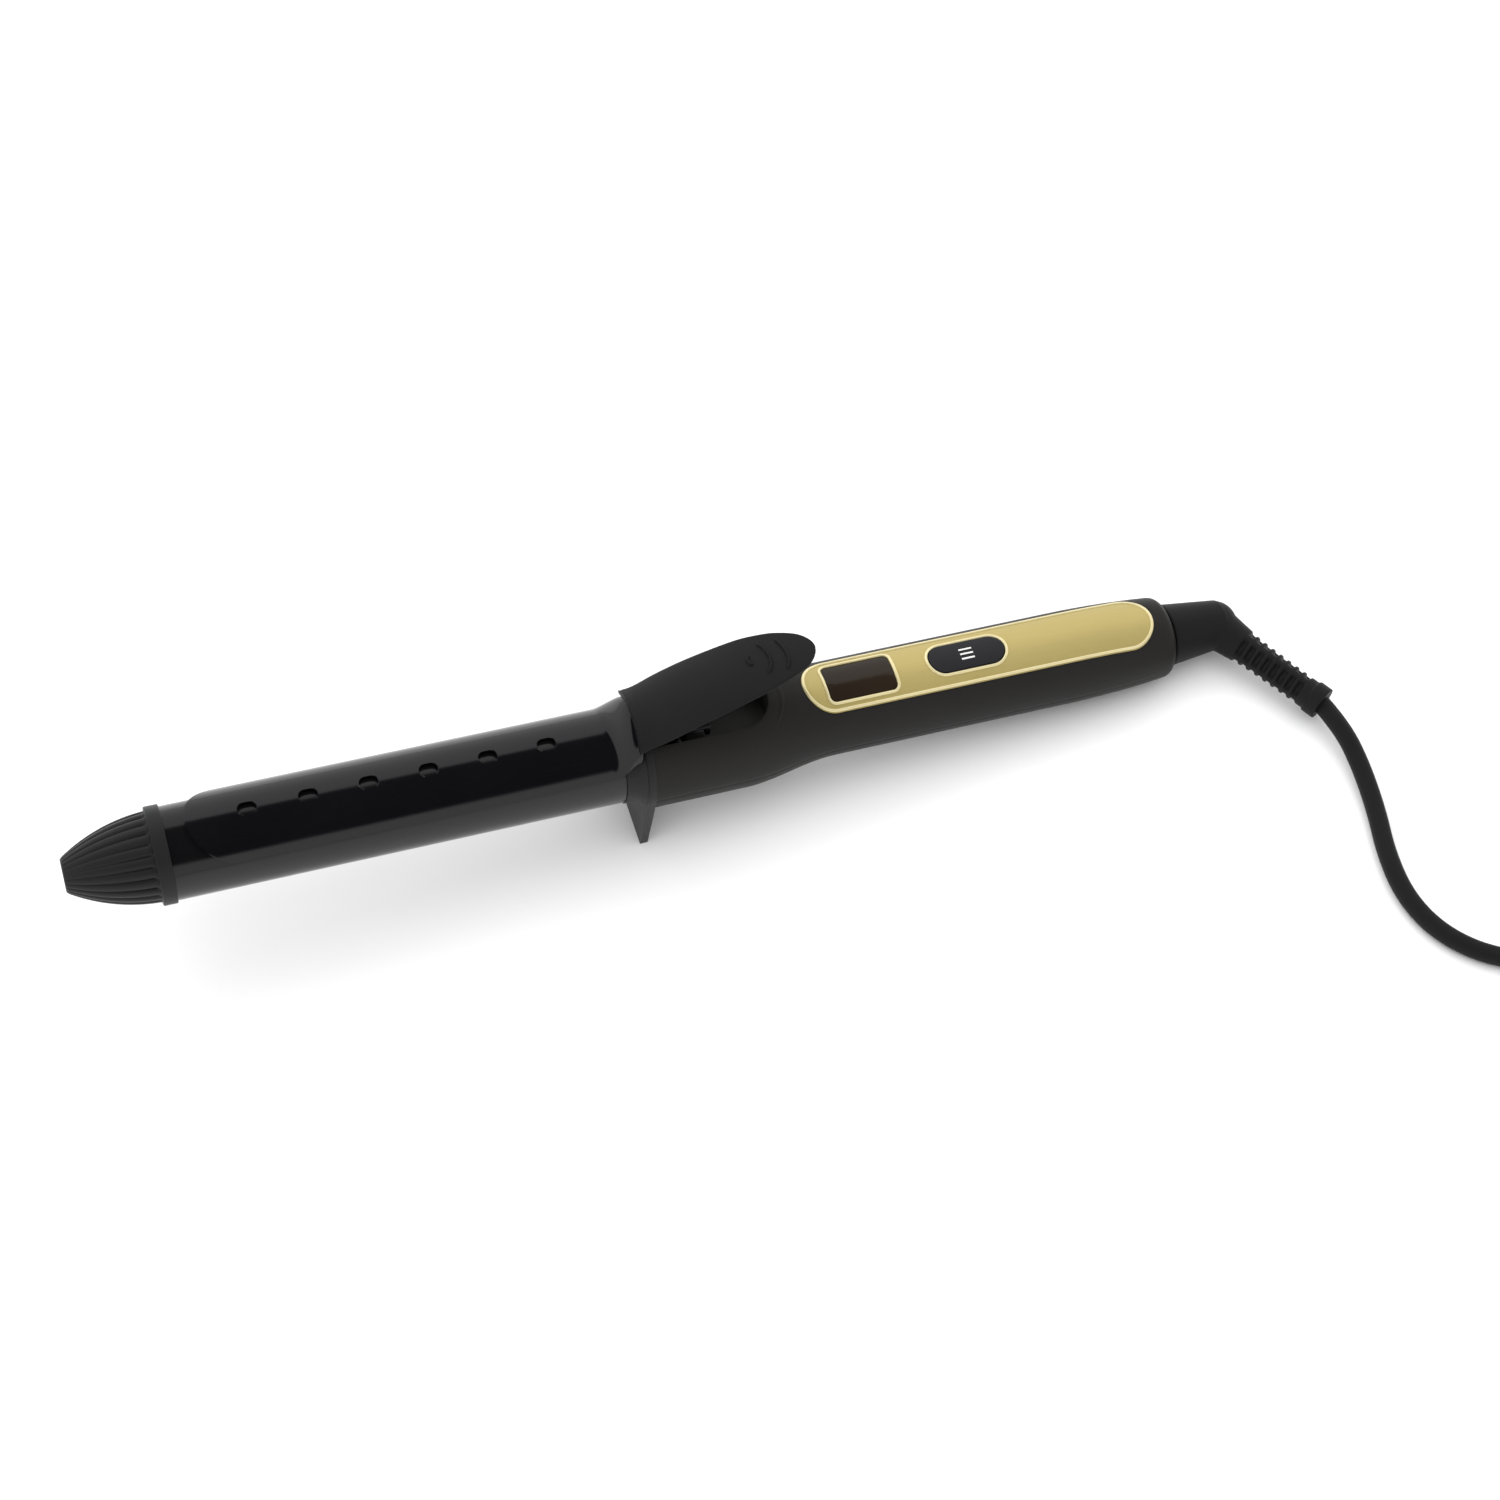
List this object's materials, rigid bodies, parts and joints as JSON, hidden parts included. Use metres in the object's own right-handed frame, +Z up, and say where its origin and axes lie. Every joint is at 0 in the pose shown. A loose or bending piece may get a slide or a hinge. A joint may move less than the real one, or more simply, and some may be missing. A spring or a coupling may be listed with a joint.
{
  "type": "curling iron",
  "caption": "Electric curling iron with a clip, thumb lever, stand plate, gold-trimmed handle with display and button, swivel elbow and coiled mains cord.",
  "frame": {"origin": "on the floor under the middle of the iron without its cord, as it rests on its foot and the rear of its handle", "axes": "+X from the cool tip to the swivel, along the iron and level with the floor, +Z up, -Y to the side that the cord leaves"},
  "size_m": [0.4838, 0.1535, 0.0568],
  "materials": {
    "tip_plastic": "satin",
    "steel": "satin",
    "ceramic_coat": "gloss",
    "clip_coat": "gloss",
    "heater_alloy": "satin",
    "heater_ceramic": "satin",
    "handle_plastic": "soft_touch",
    "bush_plastic": "satin",
    "gold_trim": "satin",
    "window_plastic": "gloss",
    "button_plastic": "satin",
    "board": "satin",
    "part_plastic": "satin",
    "capacitor_case": "satin",
    "wire_red": "satin",
    "wire_white": "satin",
    "copper": "satin",
    "swivel_plastic": "satin",
    "cord_rubber": "satin",
    "tie": "satin",
    "plug_rubber": "satin",
    "blade_metal": "satin"
  },
  "bodies": {
    "handle": {"cool_tip": "tip_plastic", "tip_plug": "bush_plastic", "tip_screw": "steel", "barrel_tube": "ceramic_coat", "heater_carriers": "heater_alloy", "ptc_heater": "heater_ceramic", "temperature_sensor": "part_plastic", "thermal_fuse": "copper", "stand_plate": "tip_plastic", "barrel_bush": "bush_plastic", "cover_screws": "steel", "board_screws": "steel", "upper_cover": "handle_plastic", "lower_cover": "handle_plastic", "trim_panel": "gold_trim", "display_window": "window_plastic", "circuit_board": "board", "display_module": "part_plastic", "push_switch": "part_plastic", "controller_chip": "part_plastic", "film_capacitor": "capacitor_case", "power_triac": "part_plastic", "heater_leads": "wire_red", "sensor_leads": "wire_white", "hinge_pin": "steel", "clip_spring": "steel", "swivel_bush": "bush_plastic", "contact_holder": "bush_plastic", "contact_fingers": "copper", "supply_leads": "wire_red"},
    "clip": {"clip_shell": "clip_coat", "thumb_lever": "handle_plastic", "clip_bracket": "steel", "clip_rivets": "steel", "lever_screws": "steel"},
    "button": {"menu_button": "button_plastic", "switch_plunger": "steel"},
    "swivel": {"swivel_elbow": "swivel_plastic", "slip_rings": "copper", "cord": "cord_rubber", "cord_coil": "cord_rubber", "cord_tail": "cord_rubber", "cord_tie": "tie", "plug_body": "plug_rubber", "plug_blades": "blade_metal"}
  },
  "joints": [
    {"name": "clip_hinge", "type": "hinge", "parent": "handle", "child": "clip", "pos_m": [0.00891, 0, 0.0359], "axis": [0, 1, 0], "range_deg": [0, 20], "stiffness_Nm_per_rad": 0.35, "springref_deg": -28.65, "deforming": ["clip_spring"]},
    {"name": "button_press", "type": "slide", "parent": "handle", "child": "button", "axis": [-0.1097, 0, -0.994], "range_m": [0, 0.0008], "stiffness_N_per_m": 400, "springref_m": -0.0005},
    {"name": "cord_swivel", "type": "hinge", "parent": "handle", "child": "swivel", "pos_m": [0.15908, 0, 0.01087], "axis": [0.994, 0, -0.1097], "continuous": true}
  ]
}
